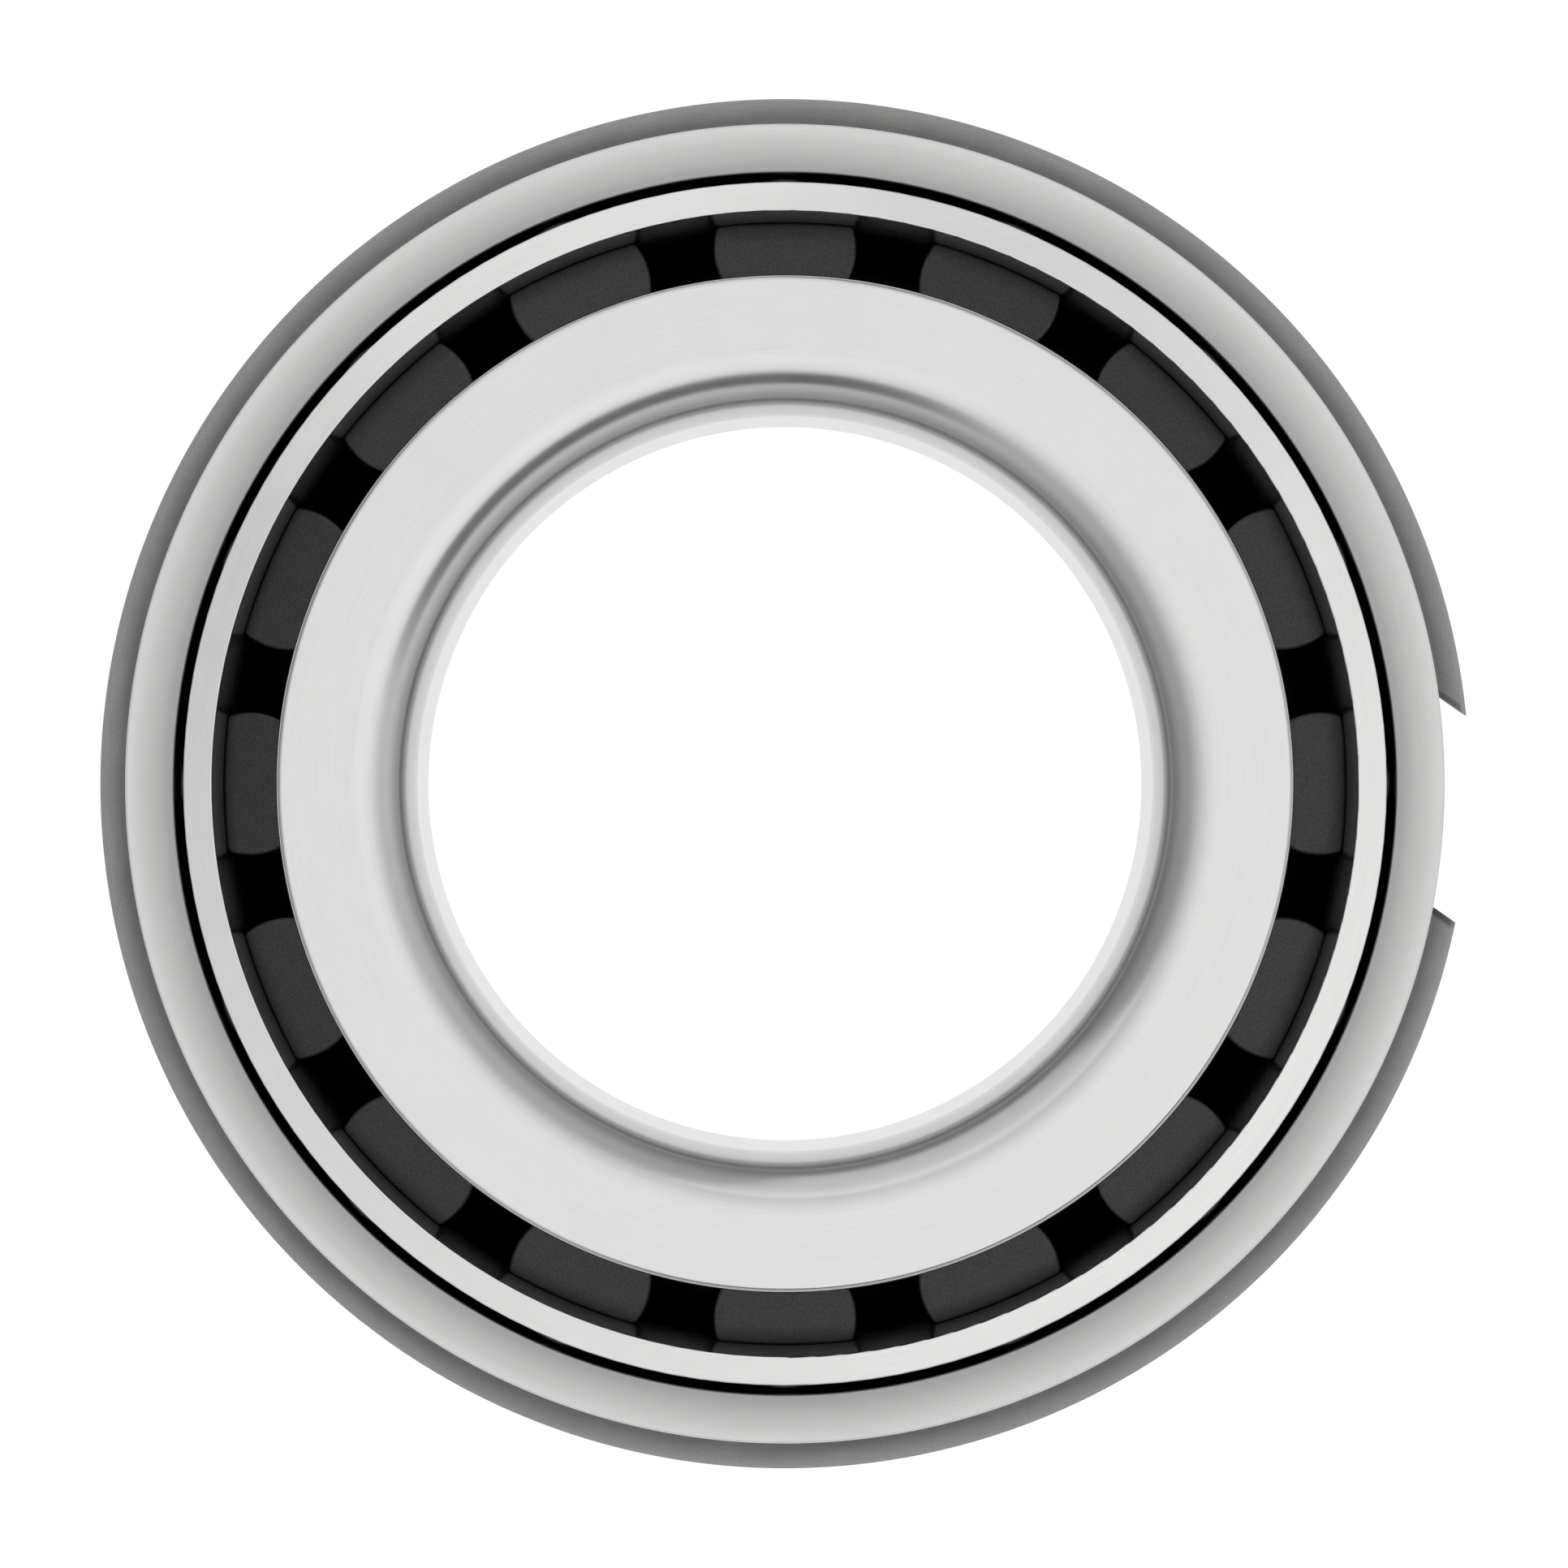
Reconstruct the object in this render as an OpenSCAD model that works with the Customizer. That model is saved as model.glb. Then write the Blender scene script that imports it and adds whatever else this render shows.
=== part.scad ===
// Single-row tapered roller bearing with a snap ring in its outer ring.
// The bearing lies on the back face of its outer ring: Z is its axis, and z = 0 is that face.
// Both raceways and all roller axes meet at one apex on the axis, below the bearing.

/* [Boundary sizes] */
// Bore diameter of the inner ring
bore_d = 50; // [46:0.5:51]
// Outside diameter of the outer ring
outer_d = 90; // [89:0.5:94]
// Width over both rings
width_t = 21.75; // [21.5:0.05:22.5]
// Width of the inner ring
width_b = 20; // [19.5:0.05:20.5]
// Width of the outer ring
width_c = 17; // [16.5:0.05:17.5]

/* [Outer ring] */
// Angle between the outer raceway and the axis, degrees
cup_angle = 12.953; // [12.5:0.001:13.4]
// Diameter of the outer raceway at the back face
cup_race_d = 75.58; // [75:0.01:76]
// Corner radius of the back face at the outside
cup_back_round = 1.5; // [0.5:0.1:2]
// Corner radius of the front face at the outside
cup_front_round = 0.15; // [0.1:0.05:1]
// Corner radius where the raceway meets the back face
cup_lip_round = 0.6; // [0.2:0.1:1]

/* [Rollers] */
// Diameter of a roller at its large end
roller_d = 10; // [9.8:0.01:10.1]
// Length of a roller
roller_len = 13.6; // [12.8:0.1:13.8]
// Height of the centre of the large end over the back face
roller_top = 17.15; // [16.9:0.01:17.4]
// Corner radius of both roller ends
roller_round = 0.3; // [0.2:0.05:0.5]
// Length of the cylindrical relief at the large end of a roller, corner included
roller_land = 0.8; // [0.7:0.1:1.2]
// Running gap between a roller and what it rolls on
run_gap = 0.02; // [0.01:0.005:0.04]
// Running gap between the large roller ends and the rib of the inner ring
rib_gap = 0.09; // [0.07:0.01:0.14]

/* [Inner ring] */
// Diameter of the large rib, beside the back face
rib_d = 68.86; // [67.5:0.02:69.4]
// Corner radius from the bore to the back face
bore_round = 4.36; // [2:0.02:4.6]
// Corner radius from the bore to the front face
bore_front_round = 0.8; // [0.4:0.1:1.2]
// Corner radius of the large rib at the back face
rib_round = 0.44; // [0.3:0.02:1]
// Height of the small rib over the raceway
small_rib = 0.8; // [0.5:0.05:1]
// Room between a roller and the small rib
end_play = 0.3; // [0.2:0.05:0.5]

/* [Cage] */
// Sheet thickness of the cage
cage_t = 2; // [1.4:0.05:2.2]
// Distance from the roller axis to the inside of the cage
cage_off = 1.66; // [1.4:0.02:1.8]
// Length of the closed rim past the large roller ends
rim_len = 2.95; // [2:0.05:3.2]
// Room between a roller and the sides of its pocket
pocket_gap = 0.13; // [0.1:0.01:0.2]
// Height of the cage flange over the back face
flange_z = 0.7; // [0.4:0.05:1]
// Inside diameter of the cage flange
flange_d = 66.6; // [65:0.1:68]

/* [Snap ring] */
// Thickness of the snap ring
snap_t = 1.7; // [1.5:0.05:1.8]
// Outside diameter of the snap ring
snap_d = 94.4; // [93:0.1:96]
// Height of the lower side of the snap ring over the back face
snap_z = 9.95; // [8:0.05:11]
// Depth of the groove below the outside of the outer ring
groove_depth = 1.6; // [1.2:0.05:1.8]
// Width of the groove
groove_w = 1.9; // [1.85:0.05:2.1]
// Edge chamfer of the snap ring
snap_edge = 0.35; // [0.2:0.05:0.5]
// Width of the slot between the ends of the snap ring
slot_w = 12.14; // [8:0.01:16]
// Distance of the slot's middle from the axis, along the slot's width
slot_off = 24.73; // [15:0.01:30]
// Direction in which the slot opens, degrees from +X
slot_dir = -35; // [-60:1:-20]

/* [Hidden] */
$fn = 180;
roller_n = 16;                                // rollers, evenly spaced; the first lies on +X
pitch = 360 / roller_n;
apex_z = -cup_race_d / 2 / tan(cup_angle);    // where all cone surfaces meet
roller_r = roller_d / 2;

// Half the cone angle of a roller that touches the outer raceway and has its
// large end at roller_top; each pass brings the value closer.
function half_taper(pass) = pass == 0 ? 1.5
    : atan(roller_r * cos(cup_angle - half_taper(pass - 1)) / (roller_top - apex_z));
taper = half_taper(8);
tilt = cup_angle - taper;                     // angle between a roller's axis and Z
small_r = roller_r - roller_len * tan(taper); // a roller's radius at its small end

along = [sin(tilt), cos(tilt)];               // up a roller's axis, as [radius, height]
away = [cos(tilt), -sin(tilt)];               // square to it, away from the bearing's axis
// Centre of a roller's small end, as [radius, height]
seat = [0, apex_z] + along * (roller_r / tan(taper) - roller_len);
// A point s up a roller's axis and n away from it, as [radius, height]
function at(s, n) = seat + along * s + away * n;
// Distance of the roller's side from its own axis, s above the small end
function side(s) = small_r + s * tan(taper);
// The point at radius r on the line square to a roller's axis, s above its small end
function on_end(s, r) = let (p = at(s, 0)) p + away * (r - p[0]) / away[0];
// The point at height z on the line that runs along a roller's axis, n away from it
function on_wall(n, z) = let (p = at(0, n)) p + along * (z - p[1]) / along[1];

cup_front_r = cup_race_d / 2 + width_c * tan(cup_angle);
cone_bottom = width_t - width_b;
small_rib_r = at(-end_play, -side(-end_play))[0] + small_rib;
groove_r = outer_d / 2 - groove_depth;
groove_z = snap_z - (groove_w - snap_t) / 2;
steel = [0.78, 0.78, 0.77];
dark_steel = [0.30, 0.30, 0.31];
spring_steel = [0.48, 0.48, 0.47];

function unit(v) = v / norm(v);
function cross2(a, b) = a[0] * b[1] - a[1] * b[0];

// Where an arc of radius r fits into the corner at p, between edges towards a and b:
// its centre, and the two points at which it touches them
function arc_in(a, p, b, r) = let (
    ua = unit(a - p),
    ub = unit(b - p),
    half = acos(ua * ub) / 2,
    reach = r / tan(half)
) [p + unit(ua + ub) * r / sin(half), p + ua * reach, p + ub * reach];

// A closed outline, listed counter-clockwise as [radius, height, corner radius]. An
// outer corner loses what lies past its arc; an inner corner is filled up to its arc.
module outline(points) {
    n = len(points);
    p = [for (q = points) [q[0], q[1]]];
    before = [for (i = [0:n - 1]) p[(i + n - 1) % n]];
    after = [for (i = [0:n - 1]) p[(i + 1) % n]];
    outer = [for (i = [0:n - 1]) cross2(p[i] - before[i], after[i] - p[i]) > 0];
    arcs = [for (i = [0:n - 1]) points[i][2] > 0
        ? arc_in(before[i], p[i], after[i], points[i][2]) : undef];
    difference() {
        polygon([for (i = [0:n - 1])
            each points[i][2] > 0 && !outer[i] ? [arcs[i][1], arcs[i][0], arcs[i][2]] : [p[i]]]);
        for (i = [0:n - 1]) if (points[i][2] > 0) {
            c = arcs[i][0];
            if (outer[i]) difference() {
                polygon([for (q = [c, arcs[i][1], p[i], arcs[i][2]]) c + (q - c) * 1.15]);
                translate(c) circle(points[i][2], $fn = 96);
            }
            else translate(c) circle(points[i][2], $fn = 96);
        }
    }
}

// The outer ring, also called the cup: conical raceway inside, groove outside.
module outer_ring() color(steel) rotate_extrude() difference() {
    outline([
        [cup_race_d / 2, 0, cup_lip_round],
        [outer_d / 2, 0, cup_back_round],
        [outer_d / 2, width_c, cup_front_round],
        [cup_front_r, width_c, 0.12]
    ]);
    translate([groove_r, groove_z]) square([groove_depth + 1, groove_w]);
}

// The inner ring, also called the cone: cylindrical bore, conical raceway between two
// ribs, and a grinding relief in each corner of the raceway.
module inner_ring() color(steel) rotate_extrude() {
    low = at(-end_play, -side(-end_play));
    high = at(roller_len + rib_gap, -side(roller_len + rib_gap));
    difference() {
        outline([
            [bore_d / 2, cone_bottom, bore_front_round],
            [small_rib_r, cone_bottom, 0.5],
            concat(on_end(-end_play, small_rib_r), [0.2]),
            concat(low, [0]),
            concat(high, [0]),
            concat(on_end(roller_len + rib_gap, rib_d / 2), [0.3]),
            [rib_d / 2, width_t, rib_round],
            [bore_d / 2, width_t, bore_round]
        ]);
        translate(low + along * 0.18) circle(0.42, $fn = 48);
        translate(high - along * 0.2) circle(0.55, $fn = 48);
    }
}

// The clear space round a roller that lies along +Z, its small end at the origin: the
// cage pocket.
module pocket() rotate_extrude($fn = 96) {
    s0 = -end_play;
    s1 = roller_len + end_play;
    outline([
        [0, s0, 0],
        [side(s0) + pocket_gap, s0, 0.6],
        [side(s1) + pocket_gap, s1, 0.6],
        [0, s1, 0]
    ]);
}

// A roller lying along +Z, its small end at the origin: a cone that turns into a short
// cylinder at the large end, which keeps that edge off the raceways.
module roller_solid() rotate_extrude($fn = 96) {
    land_z = roller_len - roller_land;
    outline([
        [0, 0, 0],
        [side(0) - run_gap, 0, roller_round],
        [side(land_z) - run_gap, land_z, 0],
        [side(land_z) - run_gap, roller_len, roller_round],
        [0, roller_len, 0]
    ]);
}

// Puts what lies along +Z into the place of roller number k.
module in_place(k) rotate([0, 0, pitch * (k - 1)])
    translate([seat[0], 0, seat[1]]) rotate([0, tilt, 0]) children();

module roller(k) color(dark_steel) in_place(k) roller_solid();

// The cage: a conical shell of sheet with a pocket for each roller, a closed rim past the
// large roller ends, and a flange turned in below the small ones.
module cage() color(steel) difference() {
    top = roller_len + end_play + rim_len;
    rotate_extrude() outline([
        [flange_d / 2, flange_z, 0.3],
        concat(on_wall(cage_off + cage_t, flange_z), [2.7]),
        concat(at(top, cage_off + cage_t), [0.08]),
        concat(at(top, cage_off), [0.08]),
        concat(on_wall(cage_off, flange_z + 0.9 * cage_t), [0.9]),
        [flange_d / 2, flange_z + 0.9 * cage_t, 0.3]
    ]);
    for (k = [1:roller_n]) in_place(k) pocket();
}

// The snap ring: an open ring of flat spring steel in the groove of the outer ring, with
// parallel ends.
module snap_ring() color(spring_steel) difference() {
    translate([0, 0, snap_z]) rotate_extrude() polygon([
        [groove_r + 0.05, 0],
        [snap_d / 2 - snap_edge, 0],
        [snap_d / 2, snap_edge],
        [snap_d / 2, snap_t - snap_edge],
        [snap_d / 2 - snap_edge, snap_t],
        [groove_r + 0.05, snap_t]
    ]);
    rotate([0, 0, slot_dir]) translate([30, slot_off - slot_w / 2, snap_z - 1])
        cube([30, slot_w, snap_t + 2]);
}

outer_ring();
inner_ring();
cage();
snap_ring();
roller(1);  // roller_01
roller(2);  // roller_02
roller(3);  // roller_03
roller(4);  // roller_04
roller(5);  // roller_05
roller(6);  // roller_06
roller(7);  // roller_07
roller(8);  // roller_08
roller(9);  // roller_09
roller(10);  // roller_10
roller(11);  // roller_11
roller(12);  // roller_12
roller(13);  // roller_13
roller(14);  // roller_14
roller(15);  // roller_15
roller(16);  // roller_16
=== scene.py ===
"""Looks of a tapered roller bearing with a snap ring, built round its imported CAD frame.

The rings and rollers are turned here as fine lathe meshes with exact surface normals; they
stand for the CAD nodes of the same shape. The cage keeps its CAD mesh.
"""
import math

import bpy
from mathutils import Matrix, Vector


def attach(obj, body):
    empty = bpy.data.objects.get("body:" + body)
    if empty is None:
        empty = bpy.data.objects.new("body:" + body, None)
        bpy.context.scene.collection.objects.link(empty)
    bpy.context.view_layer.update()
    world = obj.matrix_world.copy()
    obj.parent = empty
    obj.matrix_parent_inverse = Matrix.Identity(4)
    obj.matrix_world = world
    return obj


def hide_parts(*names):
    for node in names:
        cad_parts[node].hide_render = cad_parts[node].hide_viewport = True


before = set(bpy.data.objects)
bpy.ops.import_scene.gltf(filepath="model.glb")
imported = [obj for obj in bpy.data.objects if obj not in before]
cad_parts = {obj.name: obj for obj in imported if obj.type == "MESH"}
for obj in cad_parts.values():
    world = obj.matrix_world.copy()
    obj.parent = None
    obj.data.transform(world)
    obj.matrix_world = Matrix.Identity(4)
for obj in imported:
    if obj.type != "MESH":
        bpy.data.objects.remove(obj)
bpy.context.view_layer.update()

MM = 0.001


# --------------------------------------------------------------------------- numbers
# The same sizes as the CAD source, in millimetres and radians.
BORE_R, OUT_R = 25.0, 45.0
WIDTH_T, WIDTH_B, WIDTH_C = 21.75, 20.0, 17.0
CUP_ANGLE, CUP_RACE_R = math.radians(12.953), 37.79
ROLLER_R, ROLLER_LEN, ROLLER_TOP = 5.0, 13.6, 17.15
RUN_GAP, RIB_GAP, END_PLAY = 0.02, 0.09, 0.3
ROLLER_LAND, RIM_LEN = 0.8, 2.95
ROLLERS = 16
APEX_Z = -CUP_RACE_R / math.tan(CUP_ANGLE)
TAPER = math.radians(1.5)
for _ in range(12):
    TAPER = math.atan(ROLLER_R * math.cos(CUP_ANGLE - TAPER) / (ROLLER_TOP - APEX_Z))
TILT = CUP_ANGLE - TAPER
SMALL_R = ROLLER_R - ROLLER_LEN * math.tan(TAPER)
ALONG = Vector((math.sin(TILT), math.cos(TILT)))
AWAY = Vector((math.cos(TILT), -math.sin(TILT)))
SEAT = Vector((0, APEX_Z)) + ALONG * (ROLLER_R / math.tan(TAPER) - ROLLER_LEN)


def at(s, n):
    """A point s up a roller's axis and n away from it, as (radius, height)."""
    return SEAT + ALONG * s + AWAY * n


def side(s):
    return SMALL_R + s * math.tan(TAPER)


def on_end(s, r):
    p = at(s, 0)
    return p + AWAY * ((r - p.x) / AWAY.x)


# --------------------------------------------------------------------------- profiles
def outline(points, per_turn=72):
    """A closed outline, counter-clockwise, with rounded corners, as segments
    (start, end, start normal, end normal). Each point is (radius, height, corner radius)."""
    n = len(points)
    p = [Vector((q[0], q[1])) for q in points]
    starts, ends, arcs = [], [], []
    for i in range(n):
        a, b, r = p[i - 1], p[(i + 1) % n], points[i][2]
        ua, ub = (a - p[i]).normalized(), (b - p[i]).normalized()
        if r <= 0:
            starts.append(p[i])
            ends.append(p[i])
            arcs.append([])
            continue
        half = math.acos(max(-1.0, min(1.0, ua.dot(ub)))) / 2
        centre = p[i] + (ua + ub).normalized() * (r / math.sin(half))
        t0, t1 = p[i] + ua * (r / math.tan(half)), p[i] + ub * (r / math.tan(half))
        convex = (p[i] - a).cross(b - p[i]) > 0
        a0 = math.atan2(t0.y - centre.y, t0.x - centre.x)
        a1 = math.atan2(t1.y - centre.y, t1.x - centre.x)
        turn = (a1 - a0 + math.pi) % (2 * math.pi) - math.pi
        steps = max(4, math.ceil(abs(turn) / (2 * math.pi) * per_turn))
        sign = 1.0 if convex else -1.0
        made = []
        for k in range(steps):
            q0, q1 = a0 + turn * k / steps, a0 + turn * (k + 1) / steps
            v0, v1 = Vector((math.cos(q0), math.sin(q0))), Vector((math.cos(q1), math.sin(q1)))
            made.append((centre + v0 * r, centre + v1 * r, v0 * sign, v1 * sign))
        starts.append(t0)
        ends.append(t1)
        arcs.append(made)
    segments = []
    for i in range(n):
        segments += arcs[i]
        a, b = ends[i], starts[(i + 1) % n]
        if (b - a).length > 1e-6:
            d = (b - a).normalized()
            nrm = Vector((d.y, -d.x))
            segments.append((a, b, nrm, nrm))
    return segments


def split_long(segments, longest):
    """Straight segments longer than this are cut, so that shading data stays even."""
    out = []
    for a, b, na, nb in segments:
        k = max(1, math.ceil((b - a).length / longest)) if (na - nb).length < 1e-9 else 1
        for i in range(k):
            out.append((a.lerp(b, i / k), a.lerp(b, (i + 1) / k), na, nb))
    return out


def groove(segments, centre, r, per_turn=72):
    """Cuts a round relief, of the given centre and radius, into the outline where it lies."""
    out, hits = [], []
    c = Vector(centre)
    for a, b, na, nb in segments:
        ia, ib = (a - c).length < r, (b - c).length < r
        if ia and ib:
            continue
        if ia == ib:
            d = b - a
            t = max(0.0, min(1.0, (c - a).dot(d) / d.length_squared))
            if (a + d * t - c).length >= r or not 0 < t < 1:
                out.append((a, b, na, nb))
                continue
        d = b - a
        qa, qb, qc = d.length_squared, 2 * (a - c).dot(d), (a - c).length_squared - r * r
        root = math.sqrt(max(0.0, qb * qb - 4 * qa * qc))
        t0, t1 = (-qb - root) / (2 * qa), (-qb + root) / (2 * qa)
        if not ia:
            e = a + d * t0
            out.append((a, e, na, nb))
            hits.append((len(out), e))
        if not ib:
            e = a + d * t1
            out.append((e, b, na, nb))
            hits.append((len(out) - 1, e))
    (i0, e0), (i1, e1) = hits[0], hits[-1]
    a0, a1 = math.atan2(e0.y - c.y, e0.x - c.x), math.atan2(e1.y - c.y, e1.x - c.x)
    turn = a1 - a0
    while turn > 0:
        turn -= 2 * math.pi
    steps = max(6, math.ceil(abs(turn) / (2 * math.pi) * per_turn))
    arc = []
    for k in range(steps):
        q0, q1 = a0 + turn * k / steps, a0 + turn * (k + 1) / steps
        v0, v1 = Vector((math.cos(q0), math.sin(q0))), Vector((math.cos(q1), math.sin(q1)))
        arc.append((c + v0 * r, c + v1 * r, -v0, -v1))
    return out[:i0] + arc + out[i0:]


# --------------------------------------------------------------------------- meshes
def lathe(name, segments, count, span=None, closed=True):
    """A solid of revolution about Z in metres. With span, a function from a radius to its
    first and last angle, it is an open ring with flat ends."""
    verts, faces, normals = [], [], []
    index = {}

    def ring_of(p):
        key = (round(p.x, 5), round(p.y, 5))
        if key in index:
            return index[key]
        if p.x < 1e-6:
            ring = [len(verts)] * (count + 1)
            verts.append((0, 0, p.y * MM))
        else:
            first, last = span(p.x) if span else (0.0, 2 * math.pi)
            total = count + 1 if span else count
            base = len(verts)
            for k in range(total):
                t = first + (last - first) * k / count
                verts.append((p.x * MM * math.cos(t), p.x * MM * math.sin(t), p.y * MM))
            ring = [base + (k % total) for k in range(count + 1)]
        index[key] = ring
        return ring

    def normal(n, p, k):
        first, last = span(max(p.x, 1e-6)) if span else (0.0, 2 * math.pi)
        t = first + (last - first) * k / count
        return (n.x * math.cos(t), n.x * math.sin(t), n.y)

    for a, b, na, nb in segments:
        ra, rb = ring_of(a), ring_of(b)
        for k in range(count):
            quad = [(ra[k], na, a, k), (ra[k + 1], na, a, k + 1),
                    (rb[k + 1], nb, b, k + 1), (rb[k], nb, b, k)]
            seen, corners = set(), []
            for q in quad:
                if q[0] not in seen:
                    seen.add(q[0])
                    corners.append(q)
            if len(corners) < 3:
                continue
            faces.append([q[0] for q in corners])
            normals += [normal(q[1], q[2], q[3]) for q in corners]
    if span:
        ordered = [ring_of(s[0]) for s in segments]
        first = [r[0] for r in ordered]
        last = [r[count] for r in ordered]
        for cap, flip in ((first, True), (last, False)):
            face = cap[::-1] if flip else cap
            pts = [Vector(verts[i]) for i in face]
            nrm = Vector((0, 0, 0))
            for i in range(len(pts)):
                nrm += pts[i - 1].cross(pts[i])
            nrm.normalize()
            faces.append(face)
            normals += [tuple(nrm)] * len(face)
    mesh = bpy.data.meshes.new(name)
    mesh.from_pydata(verts, [], faces)
    mesh.validate()
    mesh.polygons.foreach_set("use_smooth", [True] * len(mesh.polygons))
    mesh.normals_split_custom_set(normals)
    mesh.update()
    return mesh


def piece(name, mesh, body, node, material, matrix=None):
    obj = bpy.data.objects.new(name, mesh)
    bpy.context.scene.collection.objects.link(obj)
    if matrix is not None:
        obj.matrix_world = matrix
    if not mesh.materials:
        mesh.materials.append(material)
    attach(obj, body)
    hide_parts(node)
    return obj


# --------------------------------------------------------------------------- materials
def new_material(name):
    m = bpy.data.materials.new(name)
    m.use_nodes = True
    t = m.node_tree
    t.nodes.clear()
    out = t.nodes.new("ShaderNodeOutputMaterial")
    bsdf = t.nodes.new("ShaderNodeBsdfPrincipled")
    t.links.new(bsdf.outputs["BSDF"], out.inputs["Surface"])
    return m, t, bsdf


def node(t, kind, **inputs):
    n = t.nodes.new(kind)
    for k, v in inputs.items():
        if hasattr(v, "is_output"):
            t.links.new(v, n.inputs[k])
        else:
            n.inputs[k].default_value = v
    return n


def maths(t, op, a, b=None):
    n = t.nodes.new("ShaderNodeMath")
    n.operation = op
    for i, v in enumerate((a, b)):
        if v is None:
            continue
        if hasattr(v, "is_output"):
            t.links.new(v, n.inputs[i])
        else:
            n.inputs[i].default_value = v
    return n.outputs[0]


def turned_marks(t, across, around, detail=2.0):
    """Noise drawn out along circles round the object's own Z axis, as turning and grinding
    leave it. across is how many marks there are to a millimetre, around how often one
    changes in a radian. It has no seam."""
    co = t.nodes.new("ShaderNodeTexCoord").outputs["Object"]
    xyz = node(t, "ShaderNodeSeparateXYZ", Vector=co)
    x, y, z = xyz.outputs
    r = maths(t, "SQRT", maths(t, "ADD", maths(t, "MULTIPLY", x, x), maths(t, "MULTIPLY", y, y)))
    safe = maths(t, "MAXIMUM", r, 1e-6)
    vec = node(t, "ShaderNodeCombineXYZ",
               X=maths(t, "MULTIPLY", maths(t, "DIVIDE", x, safe), around),
               Y=maths(t, "MULTIPLY", maths(t, "DIVIDE", y, safe), around),
               Z=maths(t, "MULTIPLY", r, 1000 * across)).outputs[0]
    n = t.nodes.new("ShaderNodeTexNoise")
    n.noise_dimensions = "4D"
    t.links.new(vec, n.inputs["Vector"])
    t.links.new(maths(t, "MULTIPLY", z, 1000 * across), n.inputs["W"])
    n.inputs["Scale"].default_value = 1.0
    n.inputs["Detail"].default_value = detail
    n.inputs["Roughness"].default_value = 0.55
    return n.outputs["Fac"]


def cloud(t, per_mm, detail=3.0):
    co = t.nodes.new("ShaderNodeTexCoord").outputs["Object"]
    n = node(t, "ShaderNodeTexNoise", Vector=co)
    n.inputs["Scale"].default_value = 1000 * per_mm
    n.inputs["Detail"].default_value = detail
    n.inputs["Roughness"].default_value = 0.6
    return n.outputs["Fac"]


def spread(t, value, low, high):
    """Noise near 0.5 drawn out to run from low to high."""
    n = t.nodes.new("ShaderNodeMapRange")
    t.links.new(value, n.inputs["Value"])
    n.inputs["From Min"].default_value = 0.3
    n.inputs["From Max"].default_value = 0.7
    n.inputs["To Min"].default_value = low
    n.inputs["To Max"].default_value = high
    return n.outputs[0]


def grey(t, value, low, high):
    ramp = t.nodes.new("ShaderNodeMix")
    ramp.data_type = "RGBA"
    fac = spread(t, value, 0.0, 1.0)
    t.links.new(fac, ramp.inputs["Factor"])
    a, b = [s for s in ramp.inputs if s.type == "RGBA"][:2]
    a.default_value = (*low, 1)
    b.default_value = (*high, 1)
    return [s for s in ramp.outputs if s.type == "RGBA"][0]


def radius(t):
    """The distance from the object's own Z axis, in metres."""
    co = t.nodes.new("ShaderNodeTexCoord").outputs["Object"]
    x, y, _ = node(t, "ShaderNodeSeparateXYZ", Vector=co).outputs
    return maths(t, "SQRT", maths(t, "ADD", maths(t, "MULTIPLY", x, x), maths(t, "MULTIPLY", y, y)))


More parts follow.
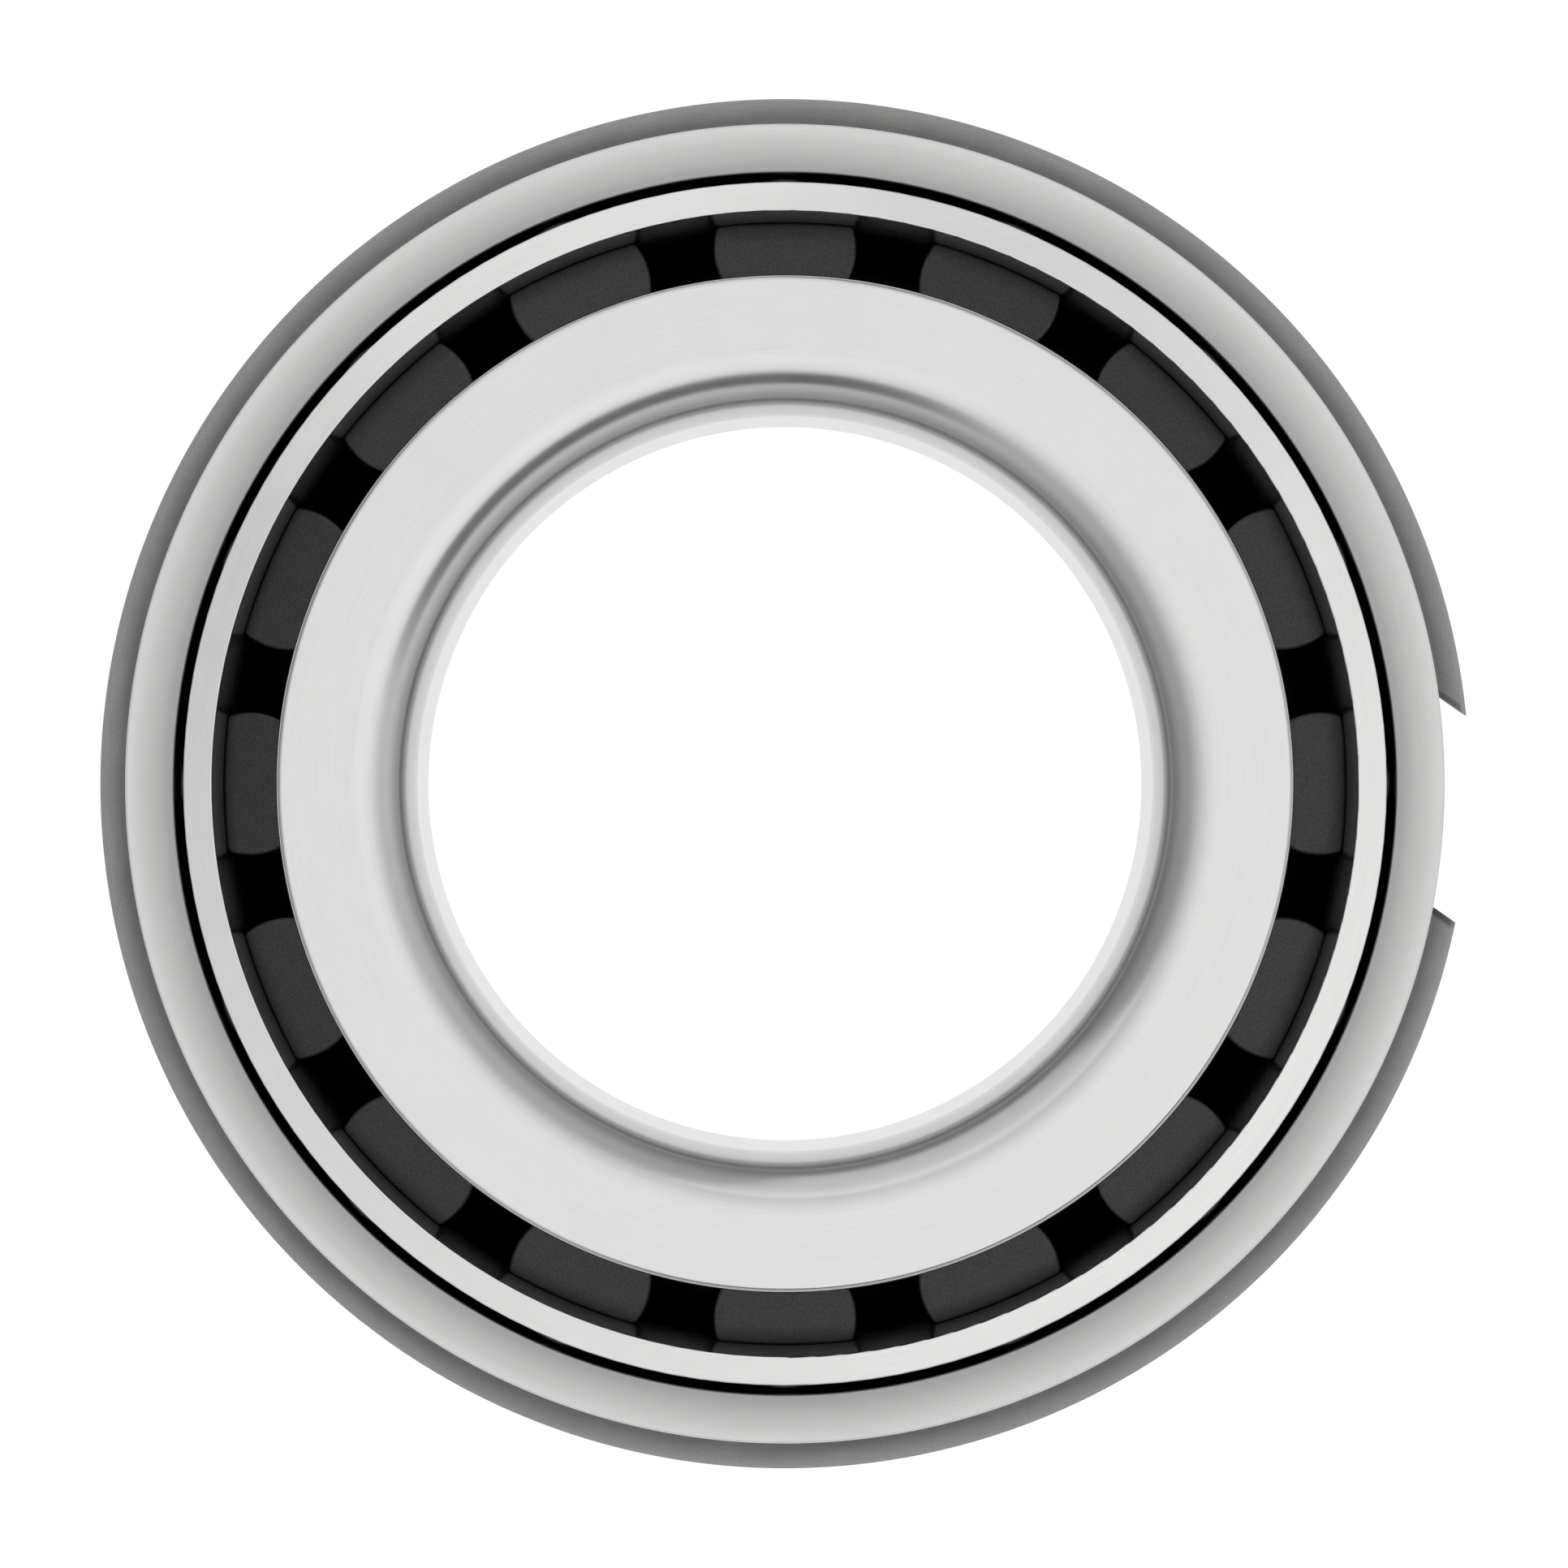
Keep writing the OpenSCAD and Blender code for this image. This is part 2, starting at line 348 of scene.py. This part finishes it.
def steel(name, colour, rough, marks=(7.0, 5.0), depth=0.0006, vary=0.03,
          rough_vary=0.05, speck=0.0, grain=0.0, edge=None, where=None, where_colour=None,
          where_rough=None, fade=None):
    """Steel with turning marks and, with grain, a fine mottle. edge is how much it reflects at a grazing angle, if that is
    less than bare steel. where is a mask from 0 to 1; the last two arguments give the colour
    and the roughness where it is 1, and the steel is bare there. fade is (r0, r1, k0, k1): the
    colour is multiplied by k0 at r0 millimetres from the axis, going evenly to k1 at r1."""
    m, t, b = new_material(name)
    lines = turned_marks(t, marks[0], marks[1])
    broad = turned_marks(t, marks[0] / 6, marks[1] / 2)
    patch = cloud(t, 0.35)
    mask = where(t) if where else None

    def shade(c):
        low, high = tuple(v * (1 - vary) for v in c), tuple(min(1.0, v * (1 + vary)) for v in c)
        mixed = maths(t, "ADD", maths(t, "MULTIPLY", lines, 0.5), maths(t, "MULTIPLY", patch, 0.5))
        return grey(t, mixed, low, high)

    def gloss(r):
        mixed = maths(t, "ADD", maths(t, "MULTIPLY", broad, 0.6), maths(t, "MULTIPLY", patch, 0.4))
        return spread(t, mixed, r - rough_vary, r + rough_vary)

    out = shade(colour)
    if where_colour:
        mix = t.nodes.new("ShaderNodeMix")
        mix.data_type = "RGBA"
        t.links.new(mask, mix.inputs["Factor"])
        first, second = [q for q in mix.inputs if q.type == "RGBA"][:2]
        t.links.new(out, first)
        t.links.new(shade(where_colour), second)
        out = [q for q in mix.outputs if q.type == "RGBA"][0]
    if grain:
        n = t.nodes.new("ShaderNodeVectorMath")
        n.operation = "SCALE"
        t.links.new(out, n.inputs[0])
        t.links.new(spread(t, cloud(t, 8.0, 1.5), 1 - grain, 1 + grain), n.inputs["Scale"])
        out = n.outputs[0]
    if fade:
        n = t.nodes.new("ShaderNodeMapRange")
        t.links.new(radius(t), n.inputs["Value"])
        n.inputs["From Min"].default_value = fade[0] * MM
        n.inputs["From Max"].default_value = fade[1] * MM
        n.inputs["To Min"].default_value = fade[2]
        n.inputs["To Max"].default_value = fade[3]
        level = n.outputs[0]
        if mask:
            mix = t.nodes.new("ShaderNodeMix")
            mix.data_type = "FLOAT"
            t.links.new(mask, mix.inputs["Factor"])
            first, second = [q for q in mix.inputs if q.type == "VALUE"][1:3]
            first.default_value = 1.0
            t.links.new(level, second)
            level = [q for q in mix.outputs if q.type == "VALUE"][0]
        n = t.nodes.new("ShaderNodeVectorMath")
        n.operation = "SCALE"
        t.links.new(out, n.inputs[0])
        t.links.new(level, n.inputs["Scale"])
        out = n.outputs[0]
    t.links.new(out, b.inputs["Base Color"])
    b.inputs["Metallic"].default_value = 1.0
    if edge is not None:
        b.inputs["Specular Tint"].default_value = (edge, edge, edge, 1)
        if where_colour:
            mix = t.nodes.new("ShaderNodeMix")
            mix.data_type = "RGBA"
            t.links.new(mask, mix.inputs["Factor"])
            first, second = [q for q in mix.inputs if q.type == "RGBA"][:2]
            first.default_value = (edge, edge, edge, 1)
            second.default_value = (1, 1, 1, 1)
            t.links.new([q for q in mix.outputs if q.type == "RGBA"][0], b.inputs["Specular Tint"])
    out = gloss(rough)
    if where_rough:
        mix = t.nodes.new("ShaderNodeMix")
        mix.data_type = "FLOAT"
        t.links.new(mask, mix.inputs["Factor"])
        first, second = [q for q in mix.inputs if q.type == "VALUE"][1:3]
        t.links.new(out, first)
        t.links.new(gloss(where_rough), second)
        out = [q for q in mix.outputs if q.type == "VALUE"][0]
    t.links.new(out, b.inputs["Roughness"])
    height = lines
    if speck:
        height = maths(t, "ADD", lines, maths(t, "MULTIPLY", cloud(t, 9.0, 1.0), speck))
    bump = t.nodes.new("ShaderNodeBump")
    bump.inputs["Strength"].default_value = 1.0
    bump.inputs["Distance"].default_value = depth * MM
    t.links.new(height, bump.inputs["Height"])
    t.links.new(bump.outputs["Normal"], b.inputs["Normal"])
    return m


def above(slope, start, full):
    """A mask that rises from 0 to 1 as r * slope[0] + z * slope[1] goes from start to full,
    in millimetres, with r the distance from the object's own Z axis."""
    def made(t):
        co = t.nodes.new("ShaderNodeTexCoord").outputs["Object"]
        x, y, z = node(t, "ShaderNodeSeparateXYZ", Vector=co).outputs
        q = maths(t, "MULTIPLY", z, slope[1])
        if slope[0]:
            r = maths(t, "SQRT", maths(t, "ADD", maths(t, "MULTIPLY", x, x), maths(t, "MULTIPLY", y, y)))
            q = maths(t, "ADD", q, maths(t, "MULTIPLY", r, slope[0]))
        n = t.nodes.new("ShaderNodeMapRange")
        n.interpolation_type = "SMOOTHSTEP"
        t.links.new(q, n.inputs["Value"])
        n.inputs["From Min"].default_value = start * MM
        n.inputs["From Max"].default_value = full * MM
        return n.outputs[0]
    return made


rim_plane = SEAT.dot(ALONG) + ROLLER_LEN + END_PLAY + RIM_LEN
BARE = (0.548, 0.548, 0.544)
CONE = steel("ground_ring_steel", BARE, 0.19, rough_vary=0.025)
# On the outer ring's front face the colour runs from 0.80 times at the inner edge to 1.21 times at the
# outer edge. This is painted shade beside the cage rim, with painted light away from it.
CUP = steel("outer_ring_steel", BARE, 0.17, rough_vary=0.02, speck=0.5, grain=0.035,
            where=above((0, 1), 16.75, 16.90), where_rough=0.62, where_colour=(0.60, 0.60, 0.595),
            fade=(42.1, 44.8, 0.80, 1.21))
# The cage is coloured near black deep inside and grades up to bare steel at its rim face. Its grazing
# reflection is also cut in the dark part. This is painted shade in the cavity between the rollers.
CAGE = steel("cage_steel_painted_dark_inside", (0.055, 0.055, 0.056), 0.32, marks=(4.0, 9.0), depth=0.0008,
             speck=0.6, edge=0.12, where=above(tuple(ALONG), rim_plane - 5.6, rim_plane - 0.06),
             where_colour=(0.59, 0.59, 0.585), where_rough=0.20)
ROLLER = steel("dark_roller_steel", (0.0385, 0.0385, 0.040), 0.27, marks=(9.0, 4.0), depth=0.0005,
               edge=0.28, speck=0.4, grain=0.24)
# The snap ring's colour rises from 1.0 times at its inner edge to 1.78 times at its outer edge. This is
# painted shade from the cup wall it sits beside, on top of its own dark phosphated tone.
SNAP = steel("phosphated_spring_steel_painted_shade", (0.225, 0.225, 0.222), 0.66, marks=(5.0, 14.0), depth=0.001,
             speck=1.0, grain=0.07, fade=(45.7, 47.1, 1.0, 1.78))

# --------------------------------------------------------------------------- pieces
cup_front_r = CUP_RACE_R + WIDTH_C * math.tan(CUP_ANGLE)
cup_lines = outline([
    (CUP_RACE_R, 0, 0.6),
    (OUT_R, 0, 1.5),
    (OUT_R, 9.85, 0.0),
    (43.4, 9.85, 0.0),
    (43.4, 11.75, 0.0),
    (OUT_R, 11.75, 0.0),
    (OUT_R, WIDTH_C, 0.15),
    (cup_front_r, WIDTH_C, 0.12),
])
cup = piece("outer_ring_turned", lathe("outer_ring_turned", split_long(cup_lines, 1.5), 384),
            "outer_ring", "outer_ring", CUP)

small_rib_r = at(-END_PLAY, -side(-END_PLAY)).x + 0.8
low = at(-END_PLAY, -side(-END_PLAY))
high = at(ROLLER_LEN + RIB_GAP, -side(ROLLER_LEN + RIB_GAP))
rib_low = on_end(-END_PLAY, small_rib_r)
rib_high = on_end(ROLLER_LEN + RIB_GAP, 34.43)
cone_lines = outline([
    (BORE_R, WIDTH_T - WIDTH_B, 0.8),
    (small_rib_r, WIDTH_T - WIDTH_B, 0.5),
    (rib_low.x, rib_low.y, 0.2),
    (low.x, low.y, 0.0),
    (high.x, high.y, 0.0),
    (rib_high.x, rib_high.y, 0.3),
    (34.43, WIDTH_T, 0.44),
    (BORE_R, WIDTH_T, 4.36),
], per_turn=128)
cone_lines = groove(cone_lines, low + ALONG * 0.18, 0.42)
cone_lines = groove(cone_lines, high - ALONG * 0.2, 0.55)
cone = piece("inner_ring_turned", lathe("inner_ring_turned", split_long(cone_lines, 1.5), 384),
             "inner_ring", "inner_ring", CONE)

land_r, land_z = side(ROLLER_LEN - ROLLER_LAND) - RUN_GAP, ROLLER_LEN - ROLLER_LAND
roller_lines = outline([
    (0, 0, 0),
    (side(0) - RUN_GAP, 0, 0.3),
    (land_r, land_z, 0),
    (land_r, ROLLER_LEN, 0.3),
    (0, ROLLER_LEN, 0),
], per_turn=48)
roller_lines = [s for s in roller_lines if not (s[0].x < 1e-6 and s[1].x < 1e-6)]
roller_mesh = lathe("tapered_roller", split_long(roller_lines, 1.2), 128)
for k in range(ROLLERS):
    turn = Matrix.Rotation(2 * math.pi * k / ROLLERS, 4, "Z")
    place = turn @ Matrix.Translation((SEAT.x * MM, 0, SEAT.y * MM)) @ Matrix.Rotation(TILT, 4, "Y")
    name = f"roller_{k + 1:02d}"
    r = piece(name + "_ground", roller_mesh, name, name, ROLLER, place)

SLOT_NORMAL = math.radians(55)


def ring_span(r):
    first = SLOT_NORMAL - math.acos(30.80 / r)
    last = SLOT_NORMAL - math.acos(18.66 / r) + 2 * math.pi
    return first, last


snap_lines = outline([
    (43.45, 9.95, 0.0),
    (46.85, 9.95, 0.0),
    (47.2, 10.30, 0.0),
    (47.2, 11.30, 0.0),
    (46.85, 11.65, 0.0),
    (43.45, 11.65, 0.0),
])
snap = piece("snap_ring_formed", lathe("snap_ring_formed", split_long(snap_lines, 1.0), 384, ring_span),
             "snap_ring", "snap_ring", SNAP)

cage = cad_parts["cage"]
cage.data.materials.clear()
cage.data.materials.append(CAGE)

# --------------------------------------------------------------------------- stage
floor_mesh = bpy.data.meshes.new("floor")
F = 6.0
floor_mesh.from_pydata([(-F, -F, 0), (F, -F, 0), (F, F, 0), (-F, F, 0)], [], [(0, 1, 2, 3)])
floor = bpy.data.objects.new("floor", floor_mesh)
bpy.context.scene.collection.objects.link(floor)
floor.location.z = -0.00002
fm, ft, fb = new_material("pale_floor")
fb.inputs["Base Color"].default_value = (0.22, 0.22, 0.22, 1)
fb.inputs["Roughness"].default_value = 0.9
fb.inputs["Specular IOR Level"].default_value = 0.1
fb.inputs["Emission Color"].default_value = (1, 1, 1, 1)
# The floor glows, so that it stays white, but not in the shade below the bearing.
fr = radius(ft)
lit = ft.nodes.new("ShaderNodeMapRange")
ft.links.new(maths(ft, "ABSOLUTE", maths(ft, "SUBTRACT", fr, 36 * MM)), lit.inputs["Value"])
lit.inputs["From Min"].default_value = 7.5 * MM
lit.inputs["From Max"].default_value = 9.0 * MM
lit.inputs["To Max"].default_value = 0.90
ft.links.new(lit.outputs[0], fb.inputs["Emission Strength"])
floor_mesh.materials.append(fm)

world = bpy.data.worlds.new("studio")
bpy.context.scene.world = world
world.use_nodes = True
wt = world.node_tree
wt.nodes.clear()
wout = wt.nodes.new("ShaderNodeOutputWorld")
bg = wt.nodes.new("ShaderNodeBackground")
wt.links.new(bg.outputs[0], wout.inputs[0])
wco = wt.nodes.new("ShaderNodeTexCoord").outputs["Generated"]
wxyz = node(wt, "ShaderNodeSeparateXYZ", Vector=wco)
ramp = wt.nodes.new("ShaderNodeValToRGB")
wt.links.new(wxyz.outputs["Z"], ramp.inputs["Fac"])
stops = [(0.0, 0.24), (0.05, 0.25), (0.31, 0.42), (0.42, 0.50), (0.60, 0.50), (0.70, 0.57), (0.76, 0.66),
         (0.82, 0.77), (0.90, 0.88), (0.95, 0.96), (1.0, 1.0)]
ramp.color_ramp.elements[0].position = stops[0][0]
ramp.color_ramp.elements[0].color = (stops[0][1],) * 3 + (1,)
ramp.color_ramp.elements[1].position = stops[-1][0]
ramp.color_ramp.elements[1].color = (stops[-1][1],) * 3 + (1,)
for pos, val in stops[1:-1]:
    e = ramp.color_ramp.elements.new(pos)
    e.color = (val,) * 3 + (1,)
lean = maths(wt, "ADD", maths(wt, "MULTIPLY", wxyz.outputs["X"], 0.30),
             maths(wt, "MULTIPLY", wxyz.outputs["Y"], -0.28))
lean = maths(wt, "ADD", lean, 1.0)


def between(value, a, b, c, d):
    """1 between b and c, falling smoothly to 0 at a and d."""
    up, down = wt.nodes.new("ShaderNodeMapRange"), wt.nodes.new("ShaderNodeMapRange")
    for n, lo, hi in ((up, a, b), (down, d, c)):
        n.interpolation_type = "SMOOTHSTEP"
        wt.links.new(value, n.inputs["Value"])
        n.inputs["From Min"].default_value = lo
        n.inputs["From Max"].default_value = hi
    return maths(wt, "MULTIPLY", up.outputs[0], down.outputs[0])


# A dark strip between the overhead light and the horizon, on the near side.
flat = wt.nodes.new("ShaderNodeCombineXYZ")
wt.links.new(wxyz.outputs["X"], flat.inputs["X"])
wt.links.new(wxyz.outputs["Y"], flat.inputs["Y"])
unit = wt.nodes.new("ShaderNodeVectorMath")
unit.operation = "NORMALIZE"
wt.links.new(flat.outputs[0], unit.inputs[0])
toward = wt.nodes.new("ShaderNodeVectorMath")
toward.operation = "DOT_PRODUCT"
wt.links.new(unit.outputs[0], toward.inputs[0])
toward.inputs[1].default_value = (math.cos(math.radians(-68)), math.sin(math.radians(-68)), 0)
strip = maths(wt, "MULTIPLY", between(wxyz.outputs["Z"], 0.46, 0.54, 0.75, 0.81),
              between(toward.outputs["Value"], 0.55, 0.85, 1.5, 2.0))
lean = maths(wt, "MULTIPLY", lean, maths(wt, "SUBTRACT", 1.0, maths(wt, "MULTIPLY", strip, 0.78)))
scale = wt.nodes.new("ShaderNodeVectorMath")
scale.operation = "SCALE"
wt.links.new(ramp.outputs["Color"], scale.inputs[0])
wt.links.new(lean, scale.inputs["Scale"])
wt.links.new(scale.outputs[0], bg.inputs["Color"])
bg.inputs["Strength"].default_value = 1.34

# One soft box on the far side, half way up.
box = bpy.data.lights.new("soft_box", "AREA")
box.shape = "SQUARE"
box.size = 0.44
box.energy = 0.26
lamp = bpy.data.objects.new("soft_box", box)
bpy.context.scene.collection.objects.link(lamp)
lamp_from = Vector((-0.16, 0.38, 0.34))
lamp.location = lamp_from
lamp.rotation_euler = (-lamp_from).to_track_quat("-Z", "Y").to_euler()

cam_data = bpy.data.cameras.new("camera")
cam_data.sensor_width = 36.0
cam_data.lens = 36.0 * 9266 / 1932
cam_data.clip_start, cam_data.clip_end = 0.01, 20
camera = bpy.data.objects.new("camera", cam_data)
bpy.context.scene.collection.objects.link(camera)
camera.location = (-0.000066, -0.000022, 0.52975)
bpy.context.scene.camera = camera

view = bpy.context.scene.view_settings
view.view_transform = "Standard"
view.look = "None"
view.exposure = 0.0
view.gamma = 1.0
